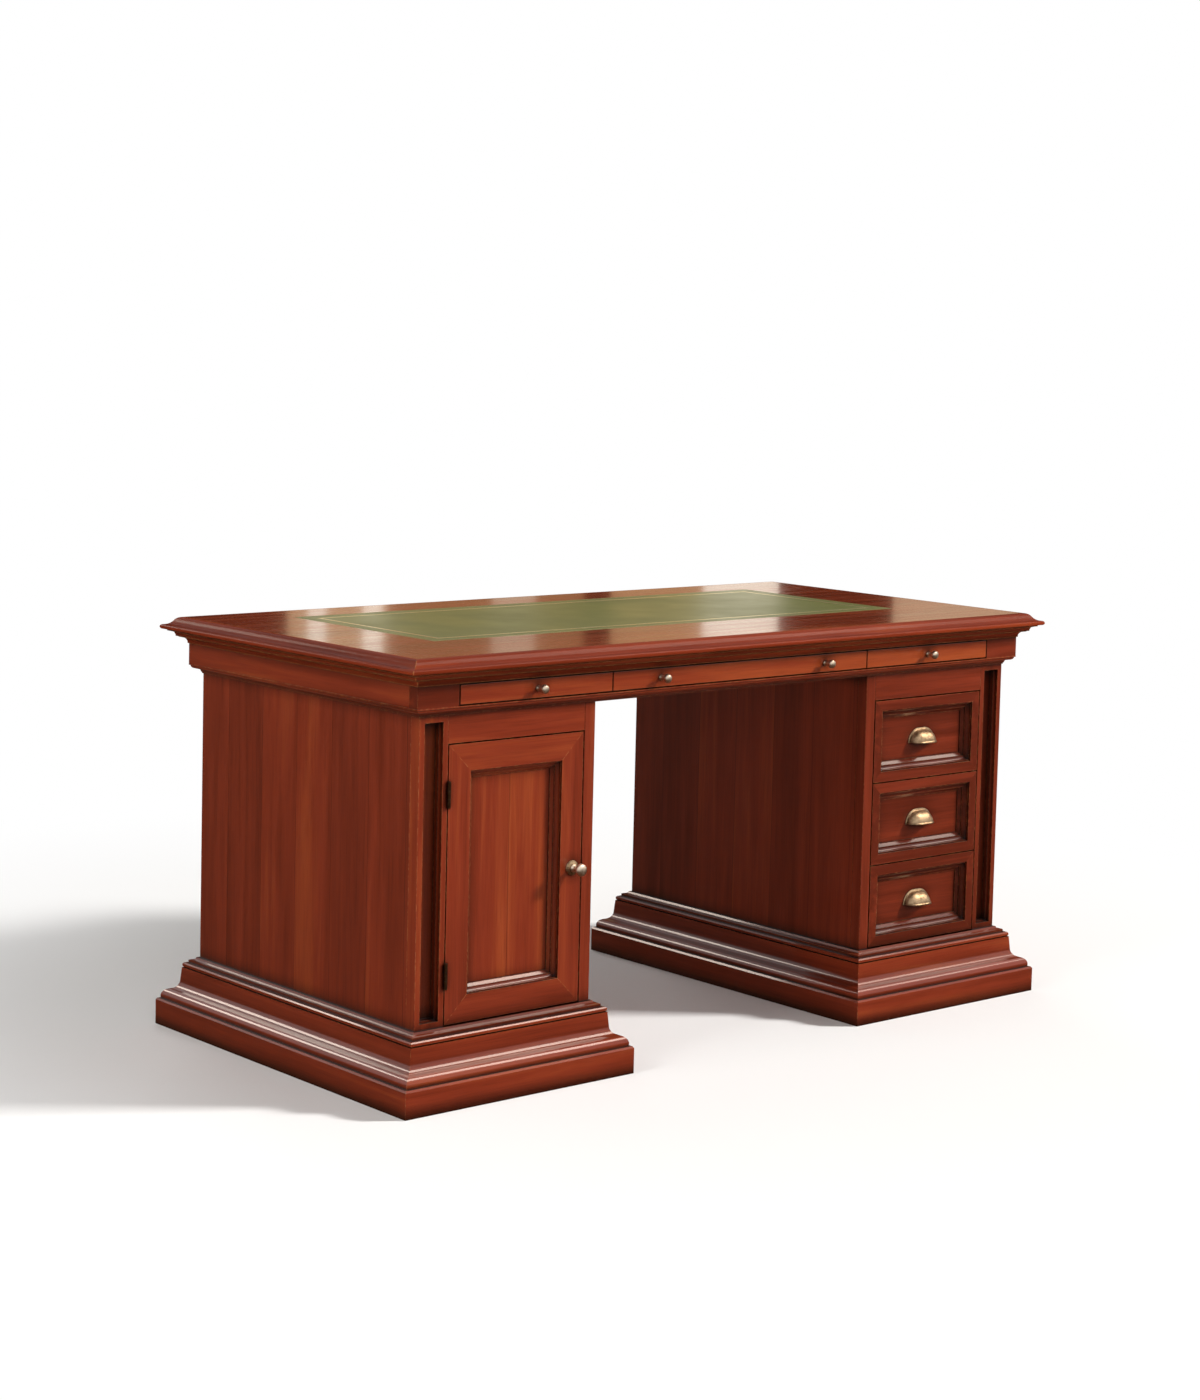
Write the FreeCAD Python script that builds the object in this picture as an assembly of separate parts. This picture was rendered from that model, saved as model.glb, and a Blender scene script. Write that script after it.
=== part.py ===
import FreeCAD, Part
import os

# A twin-pedestal writing desk, in millimetres. The sitter looks along +Y, +X is to the right, +Z is up.
# The origin lies on the floor below the middle of the top.

# Overall size
desk_width = 1600.0
desk_depth = 800.0
desk_height = 780.0

# Clearances
reveal = 2.4                    # seen gap round the door and every drawer front
running_gap = 0.3               # between a moving piece and what carries or guides it
pin_play = 0.05                 # radial, between a pin or spindle and its hole
panel_play = 0.5                # room for a panel to move in its rebate
cut_overrun = 2.0               # how far a cutter passes what it cuts

# Top
top_thickness = 36.0
edge_moulding_width = 34.0
leather_thickness = 1.6
leather_side_margin = 178.0     # from the ends of the board inside the edge moulding
leather_front_margin = 190.0    # from the front edge of the same board
leather_back_margin = 100.0
cove_height = 13.0              # cove between the top and the frieze
cove_width = 14.0

# Frieze
top_overhang = 40.0             # top beyond the frieze
frieze_overhang = 20.0          # frieze beyond the pedestals
frieze_height = 52.0
frieze_board_thickness = 18.0
base_moulding_height = 17.0     # the dust board behind it is as thick
base_moulding_lap = 8.0         # how far the moulding reaches in over a pedestal
corner_stile_width = 89.0
centre_drawer_width = 650.0
partition_thickness = 16.0
stop_length = 30.0
stop_width = 16.0
stop_height = 4.0
stop_inset = 20.0               # from the inside of a drawer's side

# Pedestals
pedestal_width = 392.0
side_thickness = 20.0
back_thickness = 12.0
floor_thickness = 16.0
head_thickness = 18.0
front_thickness = 24.0          # face frames, door frame and drawer fronts
pilaster_width = 62.0
pilaster_border = 11.0
pilaster_moulding_width = 4.5
stile_width = 24.0
rail_height = 50.0
peg_width = 10.0
peg_inset = 60.0                # from the edges of the head board

# Plinths
plinth_height = 131.0
plinth_wall = 54.0              # thickness at the foot
plinth_seat_height = 28.0

# Shelf in the cupboard
shelf_thickness = 18.0
shelf_setback = 24.0            # behind the door
shelf_play = 1.0                # at each end
shelf_pin_radius = 3.0
shelf_pin_length = 20.0
shelf_pin_inset = 70.0          # from the front and back edges of the shelf

# Framed fronts
panel_sink = 17.0               # sunk panel behind the face of its frame
panel_tongue = 6.0              # how far a panel reaches behind its moulding
door_frame_width = 48.0
door_moulding_width = 15.0
drawer_frame_width = 20.0
drawer_moulding_width = 18.0

# Drawer boxes
pedestal_drawer_count = 3
frieze_drawer_depth = 420.0
drawer_wall = 12.0
drawer_bottom_thickness = 6.0
drawer_bottom_rise = 5.0        # above the lower edge of the box
drawer_groove = 5.0             # how far the bottom is let into the walls
box_inset = 1.5                 # box behind each end of its front
box_top_drop = 4.0              # box below the top of its front
runner_thickness = 14.0
runner_lap = 6.0                # ledge beyond the inside of a drawer's wall
runner_guide_height = 24.0

# Knobs of the frieze drawers
knob_radius = 8.4
knob_projection = 24.0
turned_sides = 20               # flats round a small turned piece
centre_knob_spacing = 420.0

# Cup pulls
pull_radius = 25.0
pull_flat = 16.0                # straight stretch between the round ends
pull_wall = 2.0
pull_flange_width = 4.0
pull_flange_thickness = 2.0
pull_lip_width = 1.6            # lip along the open edge of the cup
pull_lip_height = 2.4
pull_steps = 4                  # flats in each quarter round of the cup

# Door knob and latch
door_knob_radius = 11.8
door_knob_projection = 28.0
door_knob_inset = 20.0          # from the closing edge of the door
rosette_radius = 14.0
rosette_thickness = 4.0
spindle_radius = 4.0            # of the square spindle, to its corners
spindle_sides = 4
latch_width = 14.0
latch_thickness = 3.0
latch_gap = 0.8                 # behind the inner stile
latch_end_gap = 1.2             # short of the inner side

# Butt hinges
hinge_height = 46.0
hinge_inset = 86.0              # middle of a hinge from the end of the door
hinge_leaf_depth = 17.0
hinge_barrel_radius = 3.2
hinge_pin_radius = 1.6
hinge_leaf_play = 0.4           # between the two leaves
knuckle_gap = 0.4               # between knuckles, along the pin
hinge_knuckles = 3

# Sections, each as shares of its width and height from the inside of its foot outwards and up.
# A pair is a straight step to a point, and a four is an arc through one point to another.
cove_shares = [(0.0, 0.0), (0.14, 0.0), (0.14, 0.14), (0.36, 0.68, 0.92, 0.88), (1.0, 0.88), (1.0, 1.0)]
edge_moulding_shares = [
    (0.36, 0.0), (0.36, 0.06), (0.42, 0.20), (0.62, 0.27), (0.70, 0.27), (0.70, 0.33), (0.88, 0.35),
    (1.0, 0.47, 0.88, 0.59), (0.62, 0.655, 0.44, 0.82), (0.28, 0.955, 0.08, 1.0), (0.0, 1.0)]
base_moulding_shares = [
    (0.10, 0.0), (0.10, 0.16), (0.18, 0.16), (0.24, 0.40, 0.50, 0.52), (0.80, 0.62, 0.88, 0.88),
    (1.0, 0.88), (1.0, 1.0)]
plinth_shares = [
    (1.0, 0.0), (1.0, 0.355), (0.96, 0.38), (0.885, 0.38), (0.885, 0.405),
    (0.845, 0.478, 0.70, 0.522), (0.53, 0.560, 0.45, 0.640), (0.41, 0.845), (0.36, 0.852),
    (0.40, 0.865), (0.40, 0.90), (0.36, 0.915), (0.26, 0.915), (0.26, 0.958), (0.17, 0.962),
    (0.11, 0.974), (0.08, 1.0)]
# The panel moulding counts across from its frame and down from the frame's face.
panel_moulding_shares = [
    (0.0, 0.13), (0.14, 0.13), (0.22, 0.45, 0.52, 0.57), (0.62, 0.57), (0.62, 0.68), (0.92, 0.92),
    (1.0, 0.92)]
# Turned pieces count out from the axis and up from the face that they stand on.
knob_shares = [
    (0.62, 0.0), (0.58, 0.07), (0.38, 0.14), (0.33, 0.42), (0.88, 0.60), (1.0, 0.74), (0.86, 0.91),
    (0.42, 1.0)]
rosette_shares = [(1.0, 0.0), (0.92, 0.55), (0.55, 1.0)]
peg_depth_share = 0.6           # of the board that a locating peg enters
shelf_height_share = 0.5        # of the cupboard

# Levels
top_underside = desk_height - top_thickness
cove_foot = top_underside - cove_height
frieze_base = top_underside - frieze_height
pedestal_top = frieze_base - base_moulding_height
opening_top = pedestal_top - rail_height

# Faces, as distances from the middle of the desk
board_half_width = desk_width / 2 - edge_moulding_width
board_half_depth = desk_depth / 2 - edge_moulding_width
frieze_half_width = desk_width / 2 - top_overhang
frieze_half_depth = desk_depth / 2 - top_overhang
pedestal_half_span = frieze_half_width - frieze_overhang
pedestal_half_depth = frieze_half_depth - frieze_overhang
plinth_projection = top_overhang + frieze_overhang
pedestal_middle = pedestal_half_span - pedestal_width / 2

# Fronts, measured across a pedestal from its outer face
opening_start = pilaster_width
opening_end = pedestal_width - stile_width
front_start = opening_start + reveal
front_end = opening_end - reveal
face_back = -pedestal_half_depth + front_thickness
back_front = pedestal_half_depth - back_thickness
door_foot = plinth_height + reveal
door_head = opening_top - reveal

origin = FreeCAD.Vector(0, 0, 0)
axis_x = FreeCAD.Vector(1, 0, 0)
axis_y = FreeCAD.Vector(0, 1, 0)
axis_z = FreeCAD.Vector(0, 0, 1)
left = -1
right = 1


def board(across, deep, high):
    # A squared piece between two places along X, Y and Z, each pair in either order.
    spans = (across, deep, high)
    lows = [min(span) for span in spans]
    sizes = [max(span) - min(span) for span in spans]
    return Part.makeBox(*sizes, FreeCAD.Vector(*lows))


def rod(radius, length, start, direction):
    return Part.makeCylinder(radius, length, start, direction)


def moved(shape, x, y, z):
    copy = shape.copy()
    copy.translate(FreeCAD.Vector(x, y, z))
    return copy


def one_solid(first, others):
    return first.multiFuse(others).removeSplitter()


def scaled(shares, width, height, start=(0, 0)):
    # Outline steps in real sizes, counted from a starting point.
    sizes = (width, height)
    steps = []
    for step in shares:
        places = [start[i % 2] + share * sizes[i % 2] for i, share in enumerate(step)]
        steps.append(tuple(places))
    return steps


def section(steps):
    # A closed face in the XZ plane.
    edges = []
    here = steps[0]
    for step in steps[1:] + steps[:1]:
        there = step[-2:]
        start = FreeCAD.Vector(here[0], 0, here[1])
        end = FreeCAD.Vector(there[0], 0, there[1])
        if len(step) > len(there):
            middle = FreeCAD.Vector(step[0], 0, step[1])
            edges.append(Part.Arc(start, middle, end).toShape())
        else:
            edges.append(Part.makeLine(start, end))
        here = there
    return Part.Face(Part.Wire(edges))


def mitred_length(face, half_length):
    # A length of moulding along Y with both ends mitred; it is half_length long each way at x = 0.
    box = face.BoundBox
    inside = box.XMin - cut_overrun
    outside = box.XMax + cut_overrun
    reach = half_length + outside
    stick = moved(face, 0, -reach, 0).extrude(axis_y * (2 * reach))
    corners = []
    for place, way in ((inside, -1), (outside, -1), (outside, 1), (inside, 1)):
        corners.append(FreeCAD.Vector(place, way * (half_length + place), box.ZMin - cut_overrun))
    plan = Part.Face(Part.makePolygon(corners + corners[:1]))
    return stick.common(plan.extrude(axis_z * (box.ZLength + 2 * cut_overrun)))


def mitred_ring(face, half_x, half_y):
    # Four mitred lengths round a rectangle, in the order +X, +Y, -X, -Y.
    lengths = []
    for quarter in range(4):
        along, out = (half_y, half_x) if quarter % 2 == 0 else (half_x, half_y)
        length = moved(mitred_length(face, along), out, 0, 0)
        length.rotate(origin, axis_z, 90 * quarter)
        lengths.append(length)
    return lengths


def flat_sided(outlines):
    # A solid of flat faces between closed outlines of equal count; one may be a single point, repeated.
    patches = [outlines[0], outlines[-1]]
    for near, far in zip(outlines, outlines[1:]):
        patches += [[near[i - 1], near[i], far[i], far[i - 1]] for i in range(len(near))]
    faces = []
    for patch in patches:
        corners = [corner for i, corner in enumerate(patch) if corner not in patch[:i]]
        if len(corners) > 1:
            faces.append(Part.Face(Part.makePolygon(corners + corners[:1])))
    return Part.Solid(Part.Shell(faces))


def turned(steps, sides):
    # A small turned piece that stands out along -Y from the XZ plane, with flats round it.
    outlines = []
    for radius, height in steps:
        corner = FreeCAD.Vector(radius, -height, 0)
        turns = [FreeCAD.Rotation(axis_y, 360 * side / sides) for side in range(sides)]
        outlines.append([turn.multVec(corner) for turn in turns])
    return flat_sided(outlines)


def framed_front(width, height, flat, moulding):
    # A frame of four mitred moulded lengths, facing -Y with its back at y = 0, and its sunk panel.
    panel_thickness = front_thickness - panel_sink
    sight = -(flat + moulding)
    steps = [(0, 0), (0, front_thickness), (-flat, front_thickness)]
    steps += scaled(panel_moulding_shares, -moulding, -panel_sink, (-flat, front_thickness))
    steps += [(sight, panel_thickness), (sight + panel_tongue, panel_thickness), (sight + panel_tongue, 0)]
    lengths = mitred_ring(section(steps), width / 2, height / 2)
    for length in lengths:
        length.rotate(origin, axis_x, 90)
    half_x = width / 2 + sight + panel_tongue - panel_play
    half_z = height / 2 + sight + panel_tongue - panel_play
    panel = board((-half_x, half_x), (-panel_thickness, 0), (-half_z, half_z))
    return lengths, panel


def drawer_box(across, front, depth, high):
    # Two sides, a front and a back, with a bottom let into grooves in all four.
    x_low, x_high = min(across), max(across)
    back = front + depth
    z_low, z_high = high
    inside = (x_low + drawer_wall, x_high - drawer_wall)
    walls = [
        board((x_low, inside[0]), (front, back), high),
        board((inside[1], x_high), (front, back), high),
        board(inside, (front, front + drawer_wall), high),
        board(inside, (back - drawer_wall, back), high)]
    floor = z_low + drawer_bottom_rise
    bottom = board(
        (inside[0] - drawer_groove, inside[1] + drawer_groove),
        (front + drawer_wall - drawer_groove, back - drawer_wall + drawer_groove),
        (floor, floor + drawer_bottom_thickness))
    return [wall.cut(bottom) for wall in walls] + [bottom]


def place_in(side, distance):
    # The place along X of a distance from a pedestal's outer face, towards the middle of the desk.
    return side * (pedestal_half_span - distance)


def make_top():
    half_x = board_half_width - leather_side_margin
    across = (-half_x, half_x)
    deep = (leather_front_margin - board_half_depth, board_half_depth - leather_back_margin)
    bed = desk_height - leather_thickness
    recess = board(across, deep, (bed, desk_height + cut_overrun))
    field = board(
        (-board_half_width, board_half_width), (-board_half_depth, board_half_depth),
        (top_underside, desk_height))
    # The edge moulding hooks under the board and stands on the frieze boards, with a cove in front of them.
    frieze_face = edge_moulding_width - top_overhang
    inside = frieze_face - frieze_board_thickness
    steps = [(0, top_underside), (inside, top_underside), (inside, cove_foot)]
    steps += scaled(cove_shares, cove_width, cove_height, (frieze_face, cove_foot))
    steps += scaled(edge_moulding_shares, edge_moulding_width, top_thickness, (0, top_underside))
    return {
        "top_board": [field.cut(recess)],
        "top_edge_moulding": mitred_ring(section(steps), board_half_width, board_half_depth),
        "leather_inset": [board(across, deep, (bed, desk_height))]}


def pegs_of_pedestals(play):
    # Squared pegs that stand in the head boards and enter the dust board above, widened by a play.
    half = peg_width / 2 + play
    low = pedestal_top - head_thickness * peg_depth_share
    high = (low, pedestal_top + base_moulding_height * peg_depth_share)
    pegs = []
    for side in (left, right):
        for distance in (side_thickness + peg_inset, pedestal_width - side_thickness - peg_inset):
            x = place_in(side, distance)
            for y in (face_back + peg_inset, back_front - peg_inset):
                pegs.append(board((x - half, x + half), (y - half, y + half), high))
    return pegs


def make_frieze():
    high = (frieze_base, cove_foot)
    front = -frieze_half_depth
    behind = front + front_thickness
    end_inside = frieze_half_width - frieze_board_thickness
    back_inside = frieze_half_depth - frieze_board_thickness
    stile_edge = frieze_half_width - corner_stile_width
    guide_face = stile_edge - reveal - box_inset + running_gap
    middle = centre_drawer_width / 2
    ends = []
    stiles = []
    partitions = []
    for side in (left, right):
        ends.append(board(
            (side * end_inside, side * frieze_half_width), (behind, frieze_half_depth), high))
        stiles.append(board((side * stile_edge, side * frieze_half_width), (front, behind), high))
        for start in (middle - partition_thickness / 2, guide_face):
            across = (side * start, side * (start + partition_thickness))
            partitions.append(board(
                across, (behind + running_gap, back_inside), (frieze_base, top_underside)))
    half_x = pedestal_half_span - base_moulding_lap
    half_y = pedestal_half_depth - base_moulding_lap
    dust = board((-half_x, half_x), (-half_y, half_y), (pedestal_top, frieze_base))
    steps = [(-base_moulding_lap, pedestal_top)]
    steps += scaled(base_moulding_shares, frieze_overhang, base_moulding_height, (0, pedestal_top))
    steps += [(-base_moulding_lap, frieze_base)]
    return {
        "frieze_ends": ends,
        "frieze_back": [board((-end_inside, end_inside), (back_inside, frieze_half_depth), high)],
        "frieze_corner_stiles": stiles,
        "frieze_partitions": partitions,
        "frieze_dust_board": [dust.cut(Part.makeCompound(pegs_of_pedestals(pin_play)))],
        "frieze_base_moulding": mitred_ring(section(steps), pedestal_half_span, pedestal_half_depth)}


def make_plinth(side):
    steps = [(plinth_projection - plinth_wall, 0)]
    steps += scaled(plinth_shares, plinth_projection, plinth_height)
    seat = plinth_height - plinth_seat_height
    steps += [(-side_thickness, plinth_height), (-side_thickness, seat)]
    steps += [(plinth_projection - plinth_wall, seat)]
    lengths = mitred_ring(section(steps), pedestal_width / 2, pedestal_half_depth)
    return [moved(length, side * pedestal_middle, 0, 0) for length in lengths]


def make_pilaster(side):
    # A board with a sunk and moulded panel worked in its face.
    height = pedestal_top - plinth_height
    lengths = framed_front(pilaster_width, height, pilaster_border, pilaster_moulding_width)[0]
    half_x = pilaster_width / 2 - pilaster_border - pilaster_moulding_width + panel_tongue
    half_z = height / 2 - pilaster_border - pilaster_moulding_width + panel_tongue
    core = board((-half_x, half_x), (panel_sink - front_thickness, 0), (-half_z, half_z))
    shape = one_solid(core, lengths)
    return moved(shape, place_in(side, pilaster_width / 2), face_back, plinth_height + height / 2)


def make_pedestal(side, name):
    high = (plinth_height, pedestal_top)
    deep = (face_back, pedestal_half_depth)
    within = (place_in(side, side_thickness), place_in(side, pedestal_width - side_thickness))
    face = (-pedestal_half_depth, face_back)
    rail = board(
        (place_in(side, opening_start), place_in(side, opening_end)), face, (opening_top, pedestal_top))
    stile = board((place_in(side, opening_end), place_in(side, pedestal_width)), face, high)
    return {
        name + "_outer_side": [board((place_in(side, 0), within[0]), deep, high)],
        name + "_inner_side": [board((within[1], place_in(side, pedestal_width)), deep, high)],
        name + "_back": [board(within, (back_front, pedestal_half_depth), high)],
        name + "_front_rail": [rail],
        name + "_pilaster": [make_pilaster(side)],
        name + "_inner_stile": [stile],
        name + "_plinth": make_plinth(side)}


def make_pedestal_boards():
    floors = []
    heads = []
    holes = Part.makeCompound(pegs_of_pedestals(pin_play))
    for side in (left, right):
        within = (place_in(side, side_thickness), place_in(side, pedestal_width - side_thickness))
        deep = (face_back, back_front)
        floors.append(board(within, deep, (plinth_height, plinth_height + floor_thickness)))
        heads.append(board(within, deep, (pedestal_top - head_thickness, pedestal_top)).cut(holes))
    return {"pedestal_floors": floors, "pedestal_head_boards": heads, "locating_pegs": pegs_of_pedestals(0)}


def make_shelf():
    # A shelf on four pins that stand in the sides of the cupboard, and the holes for the pins.
    cupboard_foot = plinth_height + floor_thickness
    cupboard_height = pedestal_top - head_thickness - cupboard_foot
    underside = cupboard_foot + cupboard_height * shelf_height_share
    outer = place_in(left, side_thickness)
    inner = place_in(left, pedestal_width - side_thickness)
    deep = (face_back + shelf_setback, back_front)
    shelf = board((outer + shelf_play, inner - shelf_play), deep, (underside, underside + shelf_thickness))
    pins = []
    holes = []
    for wall, way in ((outer, 1), (inner, -1)):
        for y in (deep[0] + shelf_pin_inset, deep[1] - shelf_pin_inset):
            z = underside - shelf_pin_radius - running_gap
            start = FreeCAD.Vector(wall - way * shelf_pin_length / 2, y, z)
            pins.append(rod(shelf_pin_radius, shelf_pin_length, start, axis_x * way))
            holes.append(rod(shelf_pin_radius + pin_play, shelf_pin_length, start, axis_x * way))
    return shelf, pins, Part.makeCompound(holes)


def drawer_fronts():
    # The foot and the height of each pedestal drawer front, from the top one down.
    count = pedestal_drawer_count
    height = (opening_top - plinth_height - (count + 1) * reveal) / count
    feet = [plinth_height + reveal + index * (height + reveal) for index in range(count)]
    return [(foot, height) for foot in reversed(feet)]


def box_foot(front_foot):
    # Lower edge of a pedestal drawer's box: the lowest runners lie on the floor board.
    return front_foot - reveal + floor_thickness + runner_thickness + running_gap


def make_runners():
    # Ledges with guides, on both sides of each drawer in the right pedestal.
    runners = []
    for front in drawer_fronts():
        top = box_foot(front[0]) - running_gap
        low = top - runner_thickness
        walls = (
            (side_thickness, front_start + box_inset, 1),
            (pedestal_width - side_thickness, front_end - box_inset, -1))
        for wall, box_face, way in walls:
            guide = box_face - way * running_gap
            ledge = box_face + way * (drawer_wall + runner_lap)
            outline = [
                (wall, low), (wall, top + runner_guide_height), (guide, top + runner_guide_height),
                (guide, top), (ledge, top), (ledge, low)]
            face = section([(place_in(right, distance), z) for distance, z in outline])
            start = face_back + running_gap
            runners.append(moved(face, 0, start, 0).extrude(axis_y * (back_front - start)))
    return runners


def make_pull():
    # A cup pull on the XZ plane, open below: a quarter-round shell with a flange and a lip.
    quarter = [FreeCAD.Rotation(axis_y, -90 * step / pull_steps).multVec(axis_x)
               for step in range(pull_steps + 1)]

    def arch(radius):
        half = [(pull_flat / 2 + share.x * radius, share.z * radius) for share in quarter]
        return half + [(-x, z) for x, z in reversed(half)]

    def cup(radius):
        # Quarter rounds that follow the arch, from a point at one end to a point at the other.
        outlines = []
        for x, reach in arch(radius):
            rim = [FreeCAD.Vector(x, -share.x * reach, share.z * reach) for share in quarter]
            outlines.append([FreeCAD.Vector(x, 0, 0)] + rim)
        return flat_sided(outlines)

    flange = section(arch(pull_radius + pull_flange_width)).extrude(axis_y * -pull_flange_thickness)
    lip = section(arch(pull_radius + pull_lip_width))
    lip.rotate(origin, axis_x, 90)
    body = one_solid(cup(pull_radius), [flange, lip.extrude(axis_z * pull_lip_height)])
    return body.cut(cup(pull_radius - pull_wall))


def make_pedestal_drawers():
    # Three deep drawers, whose boxes stop against the back of the pedestal.
    nodes = {}
    depth = back_front - face_back - running_gap
    across = (place_in(right, front_start + box_inset), place_in(right, front_end - box_inset))
    middle = place_in(right, (front_start + front_end) / 2)
    for name, (foot, height) in zip(("upper", "middle", "lower"), drawer_fronts()):
        lengths, panel = framed_front(
            front_end - front_start, height, drawer_frame_width, drawer_moulding_width)
        z = foot + height / 2
        panel_face = face_back - front_thickness + panel_sink
        box_high = (box_foot(foot), foot + height - box_top_drop)
        nodes[name + "_drawer_frame"] = [moved(length, middle, face_back, z) for length in lengths]
        nodes[name + "_drawer_panel"] = [moved(panel, middle, face_back, z)]
        nodes[name + "_drawer_box"] = drawer_box(across, face_back, depth, box_high)
        nodes[name + "_drawer_pull"] = [moved(make_pull(), middle, panel_face, z - pull_radius / 2)]
    return nodes


def make_frieze_drawers():
    # Three shallow drawers on the dust board, and the stops behind the front walls of their boxes.
    nodes = {}
    front = -frieze_half_depth
    behind = front + front_thickness
    stop_front = behind + drawer_wall + running_gap
    high = (frieze_base + reveal, cove_foot - reveal)
    box_high = (frieze_base + running_gap, high[1] - box_top_drop)
    joint = centre_drawer_width / 2
    edge = frieze_half_width - corner_stile_width - reveal
    clear = partition_thickness / 2 + running_gap
    knob = turned(scaled(knob_shares, knob_radius, knob_projection), turned_sides)
    side_middle = (edge + joint + reveal / 2) / 2
    drawers = (
        ("left", (-edge, -joint - reveal / 2), (box_inset - edge, -joint - clear), (-side_middle,)),
        ("centre", (reveal / 2 - joint, joint - reveal / 2), (clear - joint, joint - clear),
         (-centre_knob_spacing / 2, centre_knob_spacing / 2)),
        ("right", (joint + reveal / 2, edge), (joint + clear, edge - box_inset), (side_middle,)))
    stops = []
    for name, across, box_across, knob_places in drawers:
        nodes[name + "_frieze_drawer_front"] = [board(across, (front, behind), high)]
        nodes[name + "_frieze_drawer_box"] = drawer_box(box_across, behind, frieze_drawer_depth, box_high)
        height = (high[0] + high[1]) / 2
        nodes[name + "_frieze_drawer_knobs"] = [moved(knob, x, front, height) for x in knob_places]
        for wall, way in ((box_across[0], 1), (box_across[1], -1)):
            start = wall + way * (drawer_wall + stop_inset)
            stops.append(board(
                (start, start + way * stop_length), (stop_front, stop_front + stop_width),
                (frieze_base, frieze_base + stop_height)))
    nodes["frieze_drawer_stops"] = stops
    return nodes


def hinge_places():
    # The hinge axis stands in the middle of the reveal, just proud of the door's face.
    x = place_in(left, opening_start + reveal / 2)
    y = -pedestal_half_depth - hinge_barrel_radius - running_gap
    return [FreeCAD.Vector(x, y, z) for z in (door_foot + hinge_inset, door_head - hinge_inset)]


def make_hinges():
    case_leaves = []
    door_leaves = []
    pins = []
    leaf = (reveal - hinge_leaf_play) / 2
    pitch = (hinge_height + knuckle_gap) / hinge_knuckles
    bore_radius = hinge_pin_radius + pin_play
    for axis in hinge_places():
        foot = axis.z - hinge_height / 2
        plate_front = axis.y + hinge_barrel_radius + knuckle_gap
        plate_back = plate_front + hinge_leaf_depth
        bore = rod(bore_radius, hinge_height + 2 * cut_overrun,
                   FreeCAD.Vector(axis.x, axis.y, foot - cut_overrun), axis_z)
        for leaves, way, first in ((case_leaves, -1, 0), (door_leaves, 1, 1)):
            inside = axis.x + way * hinge_leaf_play / 2
            across = (inside, inside + way * leaf)
            knuckles = []
            for index in range(first, hinge_knuckles, 2):
                low = foot + index * pitch
                high = low + pitch - knuckle_gap
                start = FreeCAD.Vector(axis.x, axis.y, low)
                knuckles.append(rod(hinge_barrel_radius, high - low, start, axis_z))
                knuckles.append(board(across, (axis.y, plate_front), (low, high)))
            plate = board(across, (plate_front, plate_back), (foot, foot + hinge_height))
            leaves.append(one_solid(plate, knuckles).cut(bore))
        pins.append(rod(hinge_pin_radius, hinge_height, FreeCAD.Vector(axis.x, axis.y, foot), axis_z))
    return {"hinge_case_leaves": case_leaves, "hinge_door_leaves": door_leaves, "hinge_pins": pins}


def make_door():
    width = front_end - front_start
    height = door_head - door_foot
    middle_x = place_in(left, (front_start + front_end) / 2)
    middle_z = (door_foot + door_head) / 2
    lengths, panel = framed_front(width, height, door_frame_width, door_moulding_width)
    members = [moved(length, middle_x, face_back, middle_z) for length in lengths]
    knob_x = place_in(left, front_end - door_knob_inset)
    face = -pedestal_half_depth
    knob_seat = FreeCAD.Vector(knob_x, face, middle_z)
    bore = rod(spindle_radius + pin_play, front_thickness + rosette_thickness + 2 * cut_overrun,
               knob_seat - axis_y * (rosette_thickness + cut_overrun), axis_y)
    rosette = turned(scaled(rosette_shares, rosette_radius, rosette_thickness), turned_sides)
    knob = turned(scaled(knob_shares, door_knob_radius, door_knob_projection), turned_sides)
    knob = moved(knob, knob_x, face - rosette_thickness - running_gap, middle_z)
    latch_face = face_back + latch_gap
    latch_back = latch_face + latch_thickness
    spindle_length = latch_back - face + rosette_thickness + running_gap

    def square_bar(radius, length, back):
        return moved(turned([(radius, 0), (radius, length)], spindle_sides), knob_x, back, middle_z)

    reach = place_in(left, pedestal_width - side_thickness) - latch_end_gap - knob_x
    half = latch_width / 2
    plate = board(
        (knob_x - half, knob_x + half), (latch_face, latch_back), (middle_z - reach, middle_z + half))
    hole = square_bar(spindle_radius + pin_play, latch_thickness + 2 * cut_overrun, latch_back + cut_overrun)
    return {
        "door_stiles": [members[0].cut(bore), members[2]],
        "door_rails": [members[1], members[3]],
        "door_panel": [moved(panel, middle_x, face_back, middle_z)],
        "door_rosette": [moved(rosette, knob_x, face, middle_z).cut(bore)],
        "door_knob": [one_solid(knob, [square_bar(spindle_radius, spindle_length, latch_back)])],
        "latch_tongue": [plate.cut(hole)]}


def make_desk():
    nodes = make_top()
    nodes.update(make_frieze())
    nodes.update(make_pedestal(left, "left"))
    nodes.update(make_pedestal(right, "right"))
    nodes.update(make_pedestal_boards())
    nodes.update(make_pedestal_drawers())
    nodes.update(make_frieze_drawers())
    nodes.update(make_hinges())
    nodes.update(make_door())
    shelf, pins, pin_holes = make_shelf()
    for name in ("left_outer_side", "left_inner_side"):
        nodes[name] = [side.cut(pin_holes) for side in nodes[name]]
    nodes["left_shelf"] = [shelf]
    nodes["shelf_pins"] = pins
    nodes["right_drawer_runners"] = make_runners()
    return nodes


os.makedirs("parts", exist_ok=True)
for node_name, node_solids in make_desk().items():
    shape = Part.makeCompound(node_solids) if len(node_solids) > 1 else node_solids[0]
    shape.exportStep("parts/" + node_name + ".step")
    print(node_name, len(shape.Solids), "solids", "valid" if shape.isValid() else "NOT VALID")
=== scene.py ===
import math
import bmesh
import bpy
from mathutils import Euler, Matrix, Vector


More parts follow.
